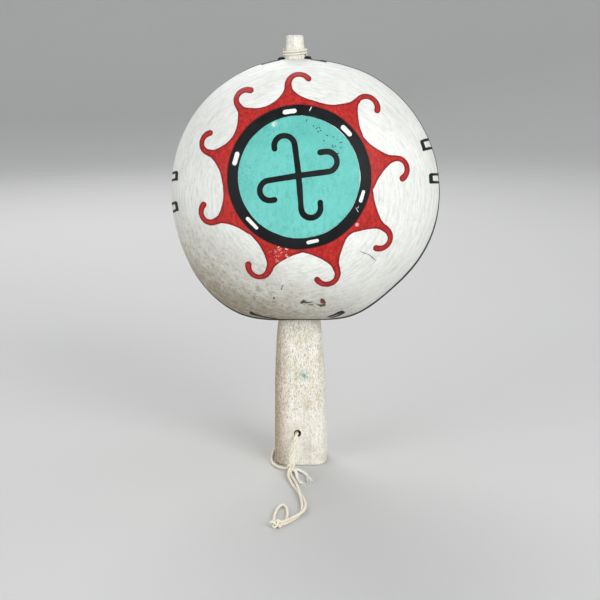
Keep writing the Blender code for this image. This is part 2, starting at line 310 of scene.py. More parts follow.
class Finish:
    """A Principled material and short calls for the nodes that feed it."""

    def __init__(self, name, roughness, specular):
        self.material = bpy.data.materials.new(name)
        self.material.use_nodes = True
        self.tree = self.material.node_tree
        self.shader = self.tree.nodes["Principled BSDF"]
        self.shader.inputs["Roughness"].default_value = roughness
        self.shader.inputs["Specular IOR Level"].default_value = specular
        self.place = self.tree.nodes.new("ShaderNodeTexCoord").outputs["Object"]

    def node(self, kind, **inputs):
        made = self.tree.nodes.new(kind)
        for name, value in inputs.items():
            self.feed(made.inputs[name.replace("_", " ")], value)
        return made

    def feed(self, socket, value):
        if isinstance(value, bpy.types.NodeSocket):
            self.tree.links.new(value, socket)
        else:
            socket.default_value = value

    def noise(self, scale, detail=3.0, stretch=(1, 1, 1), roughness=0.55, distortion=0.0, vector=None):
        """Noise about 1/scale metres across; stretch below 1 draws it out along that axis."""
        if vector is None:
            vector = self.node("ShaderNodeMapping", Vector=self.place, Scale=stretch).outputs["Vector"]
        settings = {"Scale": scale, "Detail": detail, "Roughness": roughness, "Distortion": distortion}
        return self.node("ShaderNodeTexNoise", Vector=vector, **settings).outputs["Fac"]

    def ramp(self, value, low, high, start=0.0, stop=1.0):
        """start where value is low or less, stop where it is high or more."""
        made = self.node("ShaderNodeMapRange", Value=value, From_Min=low, From_Max=high)
        made.inputs["To Min"].default_value = start
        made.inputs["To Max"].default_value = stop
        made.interpolation_type = "SMOOTHSTEP"
        return made.outputs["Result"]

    def operate(self, kind, operation, output, *values):
        made = self.tree.nodes.new(kind)
        made.operation = operation
        for socket, value in zip(made.inputs, values):
            self.feed(socket, value)
        return made.outputs[output]

    def maths(self, operation, a, b):
        return self.operate("ShaderNodeMath", operation, "Value", a, b)

    def times(self, a, b):
        return self.maths("MULTIPLY", a, b)

    def vector(self, operation, output, *values):
        return self.operate("ShaderNodeVectorMath", operation, output, *values)

    def mix(self, share, first, second):
        made = self.tree.nodes.new("ShaderNodeMix")
        made.data_type = "RGBA"
        self.feed(made.inputs["Factor"], share)
        self.feed(made.inputs["A"], first)
        self.feed(made.inputs["B"], second)
        self.colour = made.outputs["Result"]

    def base(self, share, first, second):
        """The lowest colour: from first to second as share goes from 0 to 1, in 0 to 255 levels."""
        self.mix(share, srgb(*first), srgb(*second))

    def over(self, share, *levels):
        """Lays another colour over what is there."""
        self.mix(share, self.colour, srgb(*levels))

    def split(self, vector=None):
        return self.node("ShaderNodeSeparateXYZ", Vector=vector or self.place).outputs

    def joined(self, **parts):
        return self.node("ShaderNodeCombineXYZ", **parts).outputs["Vector"]

    def along(self, axis):
        return self.split()[axis]

    def near(self, place, far, close):
        """1 within close of a place, 0 beyond far of it."""
        return self.ramp(self.vector("DISTANCE", "Value", self.place, place), close, far, 1.0, 0.0)

    def attribute(self, name):
        made = self.tree.nodes.new("ShaderNodeAttribute")
        made.attribute_name = name
        return made.outputs["Fac"]

    def finish(self, roughness=None, height=None, depth=0.0002, strength=0.5):
        """The material; roughness only where it varies, and height and depth of its bumps."""
        self.feed(self.shader.inputs["Base Color"], self.colour)
        if roughness is not None:
            self.feed(self.shader.inputs["Roughness"], roughness)
        if height is not None:
            bump = self.node("ShaderNodeBump", Height=height, Distance=depth, Strength=strength)
            self.feed(self.shader.inputs["Normal"], bump.outputs["Normal"])
        return self.material


def srgb(*levels):
    """An opaque colour from its 0 to 255 levels on a screen."""
    linear = ((v / 255 / 12.92) if v <= 10 else ((v / 255 + 0.055) / 1.055) ** 2.4 for v in levels)
    return (*linear, 1.0)


def whitewash():
    f = Finish("whitewash", 0.55, 0.25)
    split = f.split()
    x = f.maths("SUBTRACT", split["X"], GOURD_CENTRE.x + PAINT_CENTRE[0])
    z = f.maths("SUBTRACT", split["Z"], GOURD_CENTRE.z + PAINT_CENTRE[1])
    flat = f.joined(X=x, Z=z)
    heading = f.vector("NORMALIZE", "Vector", flat)
    ring = f.maths("ARCTAN2", f.vector("LENGTH", "Value", flat), f.times(split["Y"], -1.0))
    side = f.split(heading)
    # The brush went round the middle of the front, so the pattern is drawn out along that way
    drawn_out = 0.009
    brushed = f.joined(
        X=f.times(ring, GOURD_RADIUS), Y=f.times(side["X"], drawn_out), Z=f.times(side["Z"], drawn_out)
    )
    streaks = f.noise(650, 5, roughness=0.62, distortion=0.25, vector=brushed)
    fine = f.noise(1500, 4, roughness=0.65, vector=brushed)
    broad = f.noise(40, 4)
    blots = f.noise(330, 4, roughness=0.6)
    f.base(f.ramp(broad, 0.35, 0.7), (240, 242, 238), (231, 232, 227))
    f.over(f.ramp(streaks, 0.42, 0.64, 0.0, 0.55), 211, 212, 207)
    f.over(f.ramp(fine, 0.5, 0.68, 0.0, 0.45), 200, 200, 194)
    f.over(f.ramp(blots, 0.52, 0.66, 0.0, 0.35), 212, 211, 202)
    # Partly painted shade: the lower left and the underside are darkened with grey-brown mottle and stains,
    # standing in for the shade there as well as for yellowed, stained paint.
    lower_left = f.maths("ADD", f.times(x, -0.45), f.times(z, -0.9))
    low = f.ramp(lower_left, 0.026, 0.078, 0.0, 1.0)
    mottle_and_shade = f.times(low, f.ramp(f.noise(170, 5, roughness=0.65), 0.3, 0.62, 0.5, 1.0))
    f.over(mottle_and_shade, 181, 174, 156)
    stains_and_shade = f.noise(430, 5, roughness=0.7, distortion=0.6)
    f.over(f.times(low, f.ramp(stains_and_shade, 0.5, 0.64, 0.0, 0.8)), 126, 118, 101)
    # Partly painted shadow: a deeper brown along the lower edge near the grip, standing in for the shadow
    # there as well as for some dirt.
    deep = f.ramp(lower_left, 0.055, 0.078, 0.0, 0.9)
    f.over(f.times(deep, f.ramp(f.noise(240, 4, roughness=0.65), 0.34, 0.6, 0.45, 1.0)), 138, 126, 104)
    scuffs = f.times(f.ramp(streaks, 0.60, 0.72), f.ramp(f.noise(110, 3), 0.52, 0.62, 0.1, 0.75))
    f.over(scuffs, 172, 170, 162)
    specks = f.ramp(f.noise(1250, 3, roughness=0.6), 0.685, 0.73, 0.0, 0.8)
    specks = f.times(specks, f.ramp(f.noise(60, 3), 0.46, 0.6, 0.15, 1.0))
    f.over(specks, 122, 114, 104)
    height = f.maths("ADD", streaks, f.times(fine, 0.5))
    return f.finish(f.ramp(streaks, 0.3, 0.7, 0.5, 0.66), height, 0.0002, 0.5)


def red_paint():
    f = Finish("red_paint", 0.5, 0.25)
    brushing = f.noise(420, 5, (1.0, 1.0, 0.45), 0.62, 1.4)
    f.base(f.ramp(brushing, 0.38, 0.62), (160, 26, 27), (196, 46, 38))
    f.over(f.ramp(f.noise(900, 4, roughness=0.7), 0.57, 0.68, 0.0, 0.4), 220, 92, 74)
    edge = f.ramp(f.attribute("depth"), 0.0004, 0.0012, 0.95, 0.0)
    f.over(edge, 134, 22, 32)
    flakes = f.noise(430, 5, roughness=0.72, distortion=0.7)
    rubbed = f.near((-0.0060, -0.0597, 0.1338), 0.0075, 0.0030)
    f.over(f.times(rubbed, f.ramp(flakes, 0.55, 0.60)), 240, 214, 206)
    f.over(f.near((0.0335, -0.0577, 0.1476), 0.0013, 0.0006), 236, 168, 158)
    return f.finish(f.ramp(brushing, 0.3, 0.7, 0.42, 0.6), brushing, 0.0002, 0.5)


def teal_paint():
    f = Finish("teal_paint", 0.55, 0.25)
    broad = f.noise(60, 5)
    f.base(f.ramp(broad, 0.35, 0.68), (107, 197, 188), (94, 184, 174))
    # Painted light: the lower part of the disc is lightened, to even it out with the better lit top.
    f.over(f.ramp(f.along("Z"), 0.185, 0.140, 0.0, 0.6), 121, 211, 202)
    brushing = f.noise(520, 5, (1.0, 1.0, 0.5), 0.65, 0.8)
    f.over(f.ramp(brushing, 0.45, 0.66, 0.0, 0.5), 84, 172, 162)
    f.over(f.ramp(f.noise(900, 4, roughness=0.7), 0.58, 0.7, 0.0, 0.3), 140, 222, 212)
    specks = f.ramp(f.noise(1150, 3, roughness=0.6), 0.615, 0.66, 0.0, 0.8)
    patch = f.ramp(f.noise(75, 3), 0.46, 0.58)
    upper = f.ramp(f.along("Z"), 0.160, 0.178, 0.25, 1.0)
    f.over(f.times(f.times(specks, patch), upper), 44, 92, 88)
    faded = f.near((-0.0083, -0.0516, 0.1989), 0.0021, 0.0009)
    f.over(f.times(faded, f.ramp(brushing, 0.4, 0.56, 0.25, 0.9)), 204, 232, 214)
    return f.finish(None, brushing, 0.00012, 0.4)


def black_paint():
    f = Finish("black_paint", 0.5, 0.15)
    broad = f.noise(120, 4)
    f.base(f.ramp(broad, 0.35, 0.7), (16, 19, 21), (27, 31, 33))
    rubbed = f.ramp(f.noise(800, 4, (1, 1, 0.5), 0.7, 0.8), 0.68, 0.75, 0.0, 0.4)
    f.over(rubbed, 104, 102, 96)
    return f.finish(f.ramp(broad, 0.3, 0.7, 0.45, 0.6), f.noise(600, 3), 0.00012, 0.35)


def speckled(name, roughness, specular, grain, high, first, second, bumps=None):
    """One noise between two colours; bumps is the scale and strength of another in the surface."""
    f = Finish(name, roughness, specular)
    f.base(f.ramp(f.noise(*grain), 0.4, high), first, second)
    return f.finish(None, f.noise(bumps[0], 3), 0.0001, bumps[1]) if bumps else f.finish()


def grip_wood():
    f = Finish("whitewashed_wood", 0.75, 0.2)
    flecks = f.noise(2200, 5, (1.0, 1.0, 0.30), 0.74, 0.3)
    fine = f.noise(4200, 3, (1.0, 1.0, 0.6), 0.75)
    grain = f.noise(420, 4, (1.0, 1.0, 0.06), 0.6)
    blotches = f.noise(380, 4, (1.0, 1.0, 0.4), 0.6)
    f.base(f.ramp(blotches, 0.4, 0.64), (255, 253, 246), (246, 242, 226))
    f.over(f.ramp(flecks, 0.51, 0.57, 0.0, 0.72), 150, 136, 104)
    f.over(f.ramp(fine, 0.50, 0.64, 0.0, 0.4), 190, 179, 150)
    f.over(f.ramp(grain, 0.52, 0.68, 0.0, 0.35), 188, 176, 152)
    f.over(f.ramp(f.along("Z"), 0.040, 0.025, 0.0, 0.35), 252, 249, 242)
    below_gourd = f.ramp(f.along("Z"), 0.12, 0.16, 1.0, 0.0)
    left = f.times(f.ramp(f.along("X"), -0.0150, -0.0040, 0.95, 0.0), below_gourd)
    f.over(f.times(left, f.ramp(flecks, 0.36, 0.56, 0.4, 1.0)), 158, 134, 102)
    wear = f.times(f.ramp(f.noise(90, 4), 0.54, 0.68, 0.0, 0.4), below_gourd)
    f.over(wear, 200, 190, 165)
    tip = f.ramp(f.along("Z"), 0.222, 0.230, 0.0, 0.3)
    f.over(tip, 248, 249, 243)
    spot = (0.0023, -0.0132, 0.0540)
    smudge = f.times(f.near(spot, 0.0052, 0.0005), f.ramp(f.noise(560, 5), 0.42, 0.58, 0.1, 0.62))
    f.over(smudge, 112, 172, 150)
    dot = f.times(f.near(spot, 0.0019, 0.0005), f.ramp(fine, 0.4, 0.55, 0.3, 0.9))
    f.over(dot, 70, 100, 88)
    # Painted shade: the inside and the mouth of the cord hole are darkened almost to black.
    across = f.maths("SUBTRACT", f.along("X"), HOLE_X)
    above = f.maths("SUBTRACT", f.along("Z"), HOLE_Z)
    off_axis = f.vector("LENGTH", "Value", f.joined(X=across, Z=above))
    f.over(f.ramp(off_axis, HOLE_RADIUS + 0.0001, HOLE_RADIUS + 0.0004, 0.9, 0.0), 46, 38, 32)
    height = f.maths("ADD", flecks, f.times(fine, 0.6))
    return f.finish(None, height, 0.0005, 0.85)


def cotton(name, light, dark):
    f = Finish(name, 0.9, 0.15)
    fibres = f.noise(2600, 4, roughness=0.7)
    f.base(f.ramp(fibres, 0.35, 0.65), light, dark)
    f.over(f.ramp(f.noise(160, 3), 0.5, 0.7, 0.0, 0.25), 206, 188, 150)
    f.shader.inputs["Sheen Weight"].default_value = 0.25
    f.shader.inputs["Sheen Roughness"].default_value = 0.5
    return f.finish(None, fibres, 0.00012, 0.6)


# ---------------------------------------------------------------- gourd


def gourd_point(direction):
    """The gourd's outer surface in that direction from its centre."""
    swell = 1 + sum(
        share * max(0.0, direction.dot(towards)) ** sharpness for share, towards, sharpness in SWELLS
    )
    point = Vector(a * b for a, b in zip(direction, GOURD_HALF)) * swell
    soft = noise.noise(direction * 2.3 + Vector((7, 3, 1))) * 0.0004
    small = noise.noise(direction * 9.0 + Vector((2, 9, 4))) * 0.00008
    return GOURD_CENTRE + point + direction * (soft + small - 0.0002)


def ball(cuts):
    """A sphere of even quads: a cube cut into a grid and blown round."""
    built = bmesh.new()
    bmesh.ops.create_cube(built, size=2.0)
    bmesh.ops.subdivide_edges(built, edges=built.edges[:], cuts=cuts, use_grid_fill=True)
    for vert in built.verts:
        x, y, z = (math.tan(c * math.pi / 4) for c in vert.co)
        vert.co = Vector((x, y, z)).normalized()
    return built


def make_gourd(material):
    built = ball(71)
    for vert in built.verts:
        vert.co = gourd_point(vert.co.normalized())
    skin = bmesh_object("gourd_skin", built, material)
    tree = BVHTree.FromObject(skin, bpy.context.evaluated_depsgraph_get())
    wall = skin.modifiers.new("wall", "SOLIDIFY")
    wall.thickness = GOURD_WALL
    wall.offset = -1
    bake_modifiers(skin)
    radius = ROD_RADIUS + ROD_GAP
    boolean(skin, lathe("bore", [(0, 0.3), (radius, 0.3), (radius, 0.05), (0, 0.05)], 48, None), "DIFFERENCE")
    skin.data.shade_smooth()
    belongs(skin, "gourd_shell", "gourd_shell")
    return tree


# ---------------------------------------------------------------- stick


def lathe(name, profile, segments, material, wobble=0.0):
    """A closed turned solid about Z from (radius, z) points that run down its outer side."""
    verts = []
    rings = []
    for r, z in profile:
        if r == 0:
            rings.append([len(verts)])
            verts.append((0.0, 0.0, z))
            continue
        rings.append([len(verts) + k for k in range(segments)])
        for k in range(segments):
            angle = 2 * math.pi * k / segments
            place = Vector((math.cos(angle) * 0.6, math.sin(angle) * 0.6, z * 60))
            radius = r + wobble * noise.noise(place * 2)
            verts.append((radius * math.cos(angle), radius * math.sin(angle), z))
    faces = []
    for upper, lower in zip(rings, rings[1:]):
        for k in range(segments):
            after = (k + 1) % segments
            if len(upper) == 1:
                faces.append((upper[0], lower[k], lower[after]))
            elif len(lower) == 1:
                faces.append((upper[k], lower[0], upper[after]))
            else:
                faces.append((upper[k], lower[k], lower[after], upper[after]))
    return mesh_object(name, verts, faces, material)


def gourd_underside(x, y):
    """The height of the gourd's underside over that point."""
    a, b = (x - GOURD_CENTRE.x) / GOURD_HALF.x, (y - GOURD_CENTRE.y) / GOURD_HALF.y
    z = -GOURD_HALF.z * math.sqrt(1 - a**2 - b**2)
    for _ in range(3):
        z = (gourd_point(Vector((a, b, z / GOURD_HALF.z)).normalized()) - GOURD_CENTRE).z
    return GOURD_CENTRE.z + z


def grip_outline(share, angle):
    """The grip's section at a share of its height: a rounded rectangle, slightly uneven from the knife."""
    wide, deep = (size / 2 * (1 - GRIP_TAPER * share - GRIP_SHOULDER * share**5) for size in BUTT_SIZE)
    c, s = math.cos(angle), math.sin(angle)
    power = 3.8
    radius = ((abs(c) / wide) ** power + (abs(s) / deep) ** power) ** (-1 / power)
    carved = noise.noise(Vector((c * 1.6, s * 1.6, share * 2.2))) * 0.00035
    nicks = noise.noise(Vector((c * 7, s * 7, share * 9))) * 0.0001
    return c, s, radius + carved + nicks - 0.0002


def make_stick(material):
    around = 112
    rows = 110
    edge_rows = 5  # that round the butt's edge
    edge = 0.0013
    verts = [(0.0, 0.0, 0.0)]
    for row in range(rows):
        share = max(0, row - edge_rows) / (rows - 1 - edge_rows)
        turn = math.radians(90 * min(row, edge_rows) / edge_rows)
        for k in range(around):
            c, s, r = grip_outline(share * 0.93, 2 * math.pi * k / around)
            top = gourd_underside(r * c + GRIP_CENTRE_X, r * s) - GRAFT
            z = edge * (1 - math.cos(turn)) + (top - edge) * share
            r -= edge * (1 - math.sin(turn))
            verts.append((r * c + GRIP_CENTRE_X, r * s, z))
    verts.append((0.0, 0.0, gourd_underside(0, 0) - GRAFT))
    faces = []
    for k in range(around):
        after = (k + 1) % around
        faces.append((0, 1 + after, 1 + k))
        last = 1 + (rows - 1) * around
        faces.append((len(verts) - 1, last + k, last + after))
        for row in range(rows - 1):
            low = 1 + row * around
            high = low + around
            faces.append((low + k, low + after, high + after, high + k))
    stick = mesh_object("carved_stick", verts, faces, material)
    mouth = HOLE_RADIUS + 0.0005
    half = BUTT_SIZE[1] / 2
    upper = [(0, half + 0.002), (mouth, half + 0.002), (mouth, half - 0.0002), (HOLE_RADIUS, half - 0.0012)]
    hole = lathe("hole", upper + [(r, -z) for r, z in reversed(upper)], 40, None)
    hole.data.transform(Matrix.Translation((HOLE_X, 0, HOLE_Z)) @ Matrix.Rotation(math.radians(90), 4, "X"))
    boolean(stick, hole, "DIFFERENCE")
    crown = [
        (TIP_RADIUS - 0.0016 * (1 - math.sin(turn)), TIP_TOP_Z - 0.0001 - 0.0014 * (1 - math.cos(turn)))
        for turn in (math.radians(15 * i) for i in range(7))
    ]
    side_top = TIP_TOP_Z - 0.0015
    side = [
        (TIP_RADIUS + (ROD_RADIUS - TIP_RADIUS) * i / 8, side_top + (SHOULDER_Z - side_top) * i / 8)
        for i in range(1, 9)
    ]
    profile = [(0, TIP_TOP_Z), *crown, *side, (ROD_RADIUS, ROD_FOOT_Z), (0, ROD_FOOT_Z)]
    rod = lathe("rod", profile, 48, None, 0.0003)
    boolean(stick, rod, "UNION")
    stick.data.set_sharp_from_angle(angle=math.radians(42))
    belongs(stick, "handle_wood", "handle_stick")


def make_lashing(material):
    turns = 2.5
    count = 160
    radius = ROD_RADIUS + 0.0007
    start_z = SHOULDER_Z + 0.0008
    line = []
    for i in range(count + 1):
        t = i / count
        angle = 2 * math.pi * turns * t
        lean = 0.0003 * math.sin(angle + 0.6)
        z = start_z + 0.0035 * t + lean * (0.3 + t)
        line.append((radius * math.cos(angle), radius * math.sin(angle), z))
    line = resample(line, 0.0003)
    heap = Heap()
    heap.strand(line, 0.0011, 0.0026)
    heap.fuzz(line, 0.0012, 26, random.Random(11))
    belongs(heap.build("tip_thread", material), "lashing_thread", "tip_lashing")


# ---------------------------------------------------------------- cord


def knot_line(centre, half, turn):
    """A loose overhand knot's line, as large as half each way, turned about Z."""
    angles = np.linspace(0, 2 * math.pi, 90)
    x = (np.sin(angles) + 2 * np.sin(2 * angles)) / 3
    y = (np.cos(angles) - 2 * np.cos(2 * angles)) / 3
    z = -np.sin(3 * angles)
    c, s = math.cos(turn), math.sin(turn)
    return np.array(centre) + np.array(half) * np.stack([c * x - s * y, s * x + c * y, z], axis=1)


def knot_piece(node, centre, half, turn, material):
    name = f"{node}_twine"
    thread = STRAND_DIAMETER * 0.92
    room = thread / 2
    line = knot_line(centre, [h - room for h in half], turn)
    heap = Heap()
    heap.strand(resample(line, 0.00025), thread, 0.0034)
    heap.fuzz(resample(line, 0.0004), 0.0018, 24, random.Random(len(name)))
    return belongs(heap.build(name, material), "cotton_cord", node)


def frayed_tail(name, route, node, seed, long_fibre, material):
    """A cut end: the strand opens into its fibres over its last stretch."""
    line = smooth_line(route, 0.0003)[6:]
    whole = round(len(line) * 0.52)
    heap = Heap()
    heap.strand(line[: whole + 2], STRAND_DIAMETER * 1.15, STRAND_PITCH)
    rng = random.Random(seed)
    rest = line[whole:]
    _, sides, ups = frames_along(rest)
    steps = np.linspace(0, 1, len(rest))
    for _ in range(64):
        angle = rng.uniform(0, 2 * math.pi)
        spread = rng.uniform(0.0001, 0.0011)
        curl = rng.uniform(-1, 1) * 0.0009
        out = math.cos(angle) * sides + math.sin(angle) * ups
        fibre = rest + out * (0.0005 + spread * steps[:, None] ** 0.9) + sides * curl * steps[:, None] ** 2
        fibre = fibre[: round(len(fibre) * rng.uniform(0.7, 1.0))]
        fibre[:, 2] = np.maximum(fibre[:, 2], 0.0001)
        heap.tube(resample(fibre, 0.0009), rng.uniform(0.00013, 0.00022), 4)
    if long_fibre:
        end = rest[-1]
        offsets = from_mm((0, 0, 0), (0.3, -3, 0), (-0.2, -5.5, 0), (0.4, -8, 0))
        stray = smooth_line(end + np.array(offsets), 0.0006)
        stray[:, 2] = 0.0002
        heap.tube(stray, 0.00012, 4)
    heap.fuzz(line[:whole], 0.0014, 16, rng)
    return belongs(heap.build(name, material), "cotton_cord", node)


def twisted_cord(name, line, strands, seed, material):
    """A cord of one strand, or of two whose last part lies loosely, with loose fibres."""
    heap = Heap()
    front_length = lengths_along(smooth_line(FRONT_ROUTE, CORD_STEP))[-1]
    for k in range(strands):
        strand_line = parted(line, math.pi * k + 0.8, front_length, 0.00115) if strands == 2 else line
        strand_line = resample(strand_line, CORD_STEP)
        heap.strand(strand_line, STRAND_DIAMETER, STRAND_PITCH, k * 1.3)
        reach = STRAND_DIAMETER * 0.5 + 0.0010
        heap.fuzz(strand_line, reach, round(len(line) * 0.4), random.Random(seed + k))
    return heap.build(name, material)


def make_cord(material, frayed):
    tie = knot_piece("tie_knot", (-0.0052, -0.0230, 0.0027), (0.0028, 0.0026, 0.0024), 0.4, material)
    end = knot_piece("end_knot", (-0.0082, -0.1028, 0.0023), (0.0036, 0.0026, 0.0021), 0.1, material)
    tail_1 = frayed_tail("frayed_tail_1", TAIL_1_ROUTE, "cord_tail_1", 3, True, frayed)
    tail_2 = frayed_tail("frayed_tail_2", TAIL_2_ROUTE, "cord_tail_2", 8, False, frayed)
    eye = twisted_cord("eye_twine", smooth_line(EYE_ROUTE, 0.0003), 1, 5, material)
    belongs(eye, "cotton_cord", "end_eye")
    line = np.vstack([smooth_line(FRONT_ROUTE, CORD_STEP)[:-1], smooth_line(TRAIL_ROUTE, CORD_STEP)])
    line = resample(line, CORD_STEP)
    cord = twisted_cord("wrist_cord_twine", line, 2, 21, material)
    belongs(cord, "cotton_cord", "wrist_cord_front", "wrist_cord_trail")
    back_line = smooth_line(BACK_ROUTE, CORD_STEP)
    back = twisted_cord("back_leg_twine", back_line, 1, 34, material)
    belongs(back, "cotton_cord", "wrist_cord_back")


# ---------------------------------------------------------------- paint


def wobble(u, v, seed):
    """The unevenness of a painted edge, in metres."""
    shift = Vector((seed * 3.7, seed * 1.3, 0))
    flat = [
        0.00022 * noise.noise(Vector((a * 110, b * 110, 0)) + shift)
        + 0.00009 * noise.noise(Vector((a * 520, b * 520, 3)) + shift)
        for a, b in zip(u.ravel(), v.ravel())
    ]
    return np.array(flat).reshape(u.shape)


def disc(u, v, centre, radius):
    return np.hypot(u - centre[0], v - centre[1]) - radius


def stroke(u, v, line, half_width):
    """Distance to a painted stroke along a line of points; half_width is a number or one for each point."""
    line = np.asarray(line, float)
    widths = np.broadcast_to(half_width, len(line))
    best = np.full(u.shape, 1.0)
    for start, stop, wide, next_wide in zip(line, line[1:], widths, widths[1:]):
        run = stop - start
        share = ((u - start[0]) * run[0] + (v - start[1]) * run[1]) / max(run @ run, 1e-12)
        share = np.clip(share, 0, 1)
        away = np.hypot(u - start[0] - share * run[0], v - start[1] - share * run[1])
        best = np.minimum(best, away - wide - (next_wide - wide) * share)
    return best


def strokes(u, v, lines):
    """Distance to the nearest of several strokes, each a line and its half_width."""
    return np.min([stroke(u, v, line, half_width) for line, half_width in lines], axis=0)


def melt(a, b, blend):
    """The union of two shapes with the corner between them filled."""
    share = np.clip(0.5 + 0.5 * (b - a) / blend, 0, 1)
    return b * (1 - share) + a * share - blend * share * (1 - share)


def film_outline(low, high, step, shape):
    """Points, faces and depths of the part of a grid where shape(u, v) is below zero, cut along its edge."""
    us = np.arange(low[0], high[0] + step, step)
    vs = np.arange(low[1], high[1] + step, step)
    u, v = np.meshgrid(us, vs)
    away = shape(u, v)
    away = np.where(np.abs(away) < step * 0.04, -step * 0.04, away)
    inside = away < 0
    count = inside[:-1, :-1] + 0 + inside[1:, :-1] + inside[:-1, 1:] + inside[1:, 1:]
    points, depths, known, faces = [], [], {}, []

    def corner(j, i):
        key = (j, i)
        if key not in known:
            known[key] = len(points)
            points.append((us[i], vs[j]))
            depths.append(-away[j, i])
        return known[key]

    def crossing(a, b):
        key = (min(a, b), max(a, b))
        if key not in known:
            t = away[a] / (away[a] - away[b])
            known[key] = len(points)
            points.append((us[a[1]] + t * (us[b[1]] - us[a[1]]), vs[a[0]] + t * (vs[b[0]] - vs[a[0]])))
            depths.append(0.0)
        return known[key]

    for j, i in zip(*np.nonzero(count)):
        ring = [(j, i), (j, i + 1), (j + 1, i + 1), (j + 1, i)]
        face = []
        for a, b in zip(ring, ring[1:] + ring[:1]):
            if inside[a]:
                face.append(corner(*a))
            if inside[a] != inside[b]:
                face.append(crossing(a, b))
        if len(face) > 2:
            faces.append(face)
    return points, faces, depths


# The front of the gourd is painted as seen from a little above, straight on
PAINT_LOOK = Vector((-math.sin(CAMERA_AZIMUTH), math.cos(CAMERA_AZIMUTH), -0.14)).normalized()
PAINT_CENTRE = (-0.0025, 0.0066)


def onto_side(tree, look):
    """A function that lays a flat point on the gourd as seen along look."""
    right = look.cross(Vector((0, 0, 1))).normalized()
    up = right.cross(look).normalized()

    def lay(u, v, height):
        origin = GOURD_CENTRE + right * u + up * v - look * 0.2
        place, normal, _, _ = tree.ray_cast(origin, look)
        return place + normal * height

    return lay


def onto_rim(tree):
    """A function that lays (clockwise round the rim from the top, towards the back) on the gourd's side."""

    def lay(u, v, height):
        around, back = u / GOURD_RADIUS, v / GOURD_HALF.y
        across, up = math.sin(around) * math.cos(back), math.cos(around) * math.cos(back)
        place, normal, _, _ = tree.ray_cast(GOURD_CENTRE, Vector((across, math.sin(back), up)))
        return place + normal * height

    return lay


def film(name, shapes, height, material):
    """One piece of paint film. shapes is a list of (lay, low, high, step, shape)."""
    verts, faces, depths = [], [], []
    for lay, low, high, step, shape in shapes:
        points, some_faces, some_depths = film_outline(low, high, step, shape)
        start = len(verts)
        verts += [lay(u, v, height) for u, v in points]
        first, second, last = (verts[some_faces[0][k] + start] for k in (0, 1, -1))
        flip = (second - first).cross(last - first).dot(first - GOURD_CENTRE) < 0
        for face in some_faces:
            face = [start + k for k in face]
            faces.append(face[::-1] if flip else face)
        depths += some_depths
    made = mesh_object(name, verts, faces, material)
    attribute = made.data.attributes.new("depth", "FLOAT", "POINT")
    attribute.data.foreach_set("value", depths)
    thick = made.modifiers.new("thickness", "SOLIDIFY")
    thick.thickness = height * 0.8
    thick.offset = -1
    bake_modifiers(made)
    belongs(made, "gourd_shell")


R = GOURD_RADIUS
TEAL_RADIUS = 0.421 * R
RING_RADIUS = 0.4965 * R
BAND_RADIUS = 0.525 * R
RAY_COUNT = 9
RAY_FOOT = 0.50 * R
RAY_HALF_WIDTH = 0.0192 * R
# For each ray: the degrees it strays from its even place, how much longer than most it is, in shares of R,
# and the degrees its hook curls further than most
RAY_DRIFT = (-4.1, 0.4, 2, 3.5, 0.4, 0.7, 5, 8.0, 2.2)
RAY_STRETCH = (-0.004, 0.014, 0, 0.004, -0.004, -0.010, -0.010, 0.008, 0.011)
RAY_TURN = (0, 0, -5.5, 0, 0, 5.5, 0, 0, 0)
RAY_ROOT = 0.22  # how much a hook fills out inwards where it begins
DASH_ANGLES = (-7, 47, 108, 169, 226.5, 287.3)
# Each arm of the emblem: its heading in degrees counterclockwise from the top, then in shares of R its
# reach, the radius of its hook and the hook's straight end
CROSS_ARMS = (
    (6.5, 0.214, 0.070, 0.012),
    (98, 0.213, 0.068, 0.024),
    (183, 0.225, 0.067, 0.033),
    (276.5, 0.203, 0.069, 0.038),
)
RIM_GAP = 8  # degrees each side of the tip without the rim line


def polar(angle, radius):
    """A point at that radius, that many degrees clockwise from the top."""
    turn = math.radians(angle)
    return np.array((math.sin(turn), math.cos(turn))) * radius


def ray_line(index):
    """A hooked ray: its direction, its clockwise side, where its hook begins, and its line and widths."""
    angle = -2 + 360 / RAY_COUNT * index + RAY_DRIFT[index]
    out = polar(angle, 1.0)
    side = np.array((out[1], -out[0]))
    curl = (0.078 if index < 7 else 0.072) * R * (1 + 0.03 * math.sin(1.7 * index + 1))
    turn_from = (0.6705 + 0.030 * math.cos(math.radians(angle - 150)) + RAY_STRETCH[index]) * R
    span = math.radians(161 + 8 * math.cos(math.radians(angle - 150)) + RAY_TURN[index])
    centre = out * turn_from + side * curl
    line, widths = [out * RAY_FOOT], [RAY_HALF_WIDTH]
    for t in np.linspace(0, 1, 20):
        root = RAY_ROOT * max(0.0, 0.4 - t) / 0.4 * (index not in (1, 2))
        bend = curl - root * RAY_HALF_WIDTH
        line.append(centre + bend * (math.sin(span * t) * out - math.cos(span * t) * side))
        widths.append(RAY_HALF_WIDTH * (1 + root + 0.15 * max(0.0, t - 0.7) / 0.3))
    return out, side, turn_from, line, widths


def ray_flare(u, v, out, side, turn_from):
    """The ray's foot, which spreads in a smooth curve towards its neighbours."""
    along = u * out[0] + v * out[1]
    across = np.abs(u * side[0] + v * side[1])
    t = np.clip((along - RAY_FOOT) / (turn_from - RAY_FOOT), 0, 1)
    half_width = RAY_HALF_WIDTH + 0.140 * R * (1 - t) ** 1.6
    return np.maximum(np.maximum((across - half_width) * 0.75, along - turn_from), RAY_FOOT * 0.8 - along)


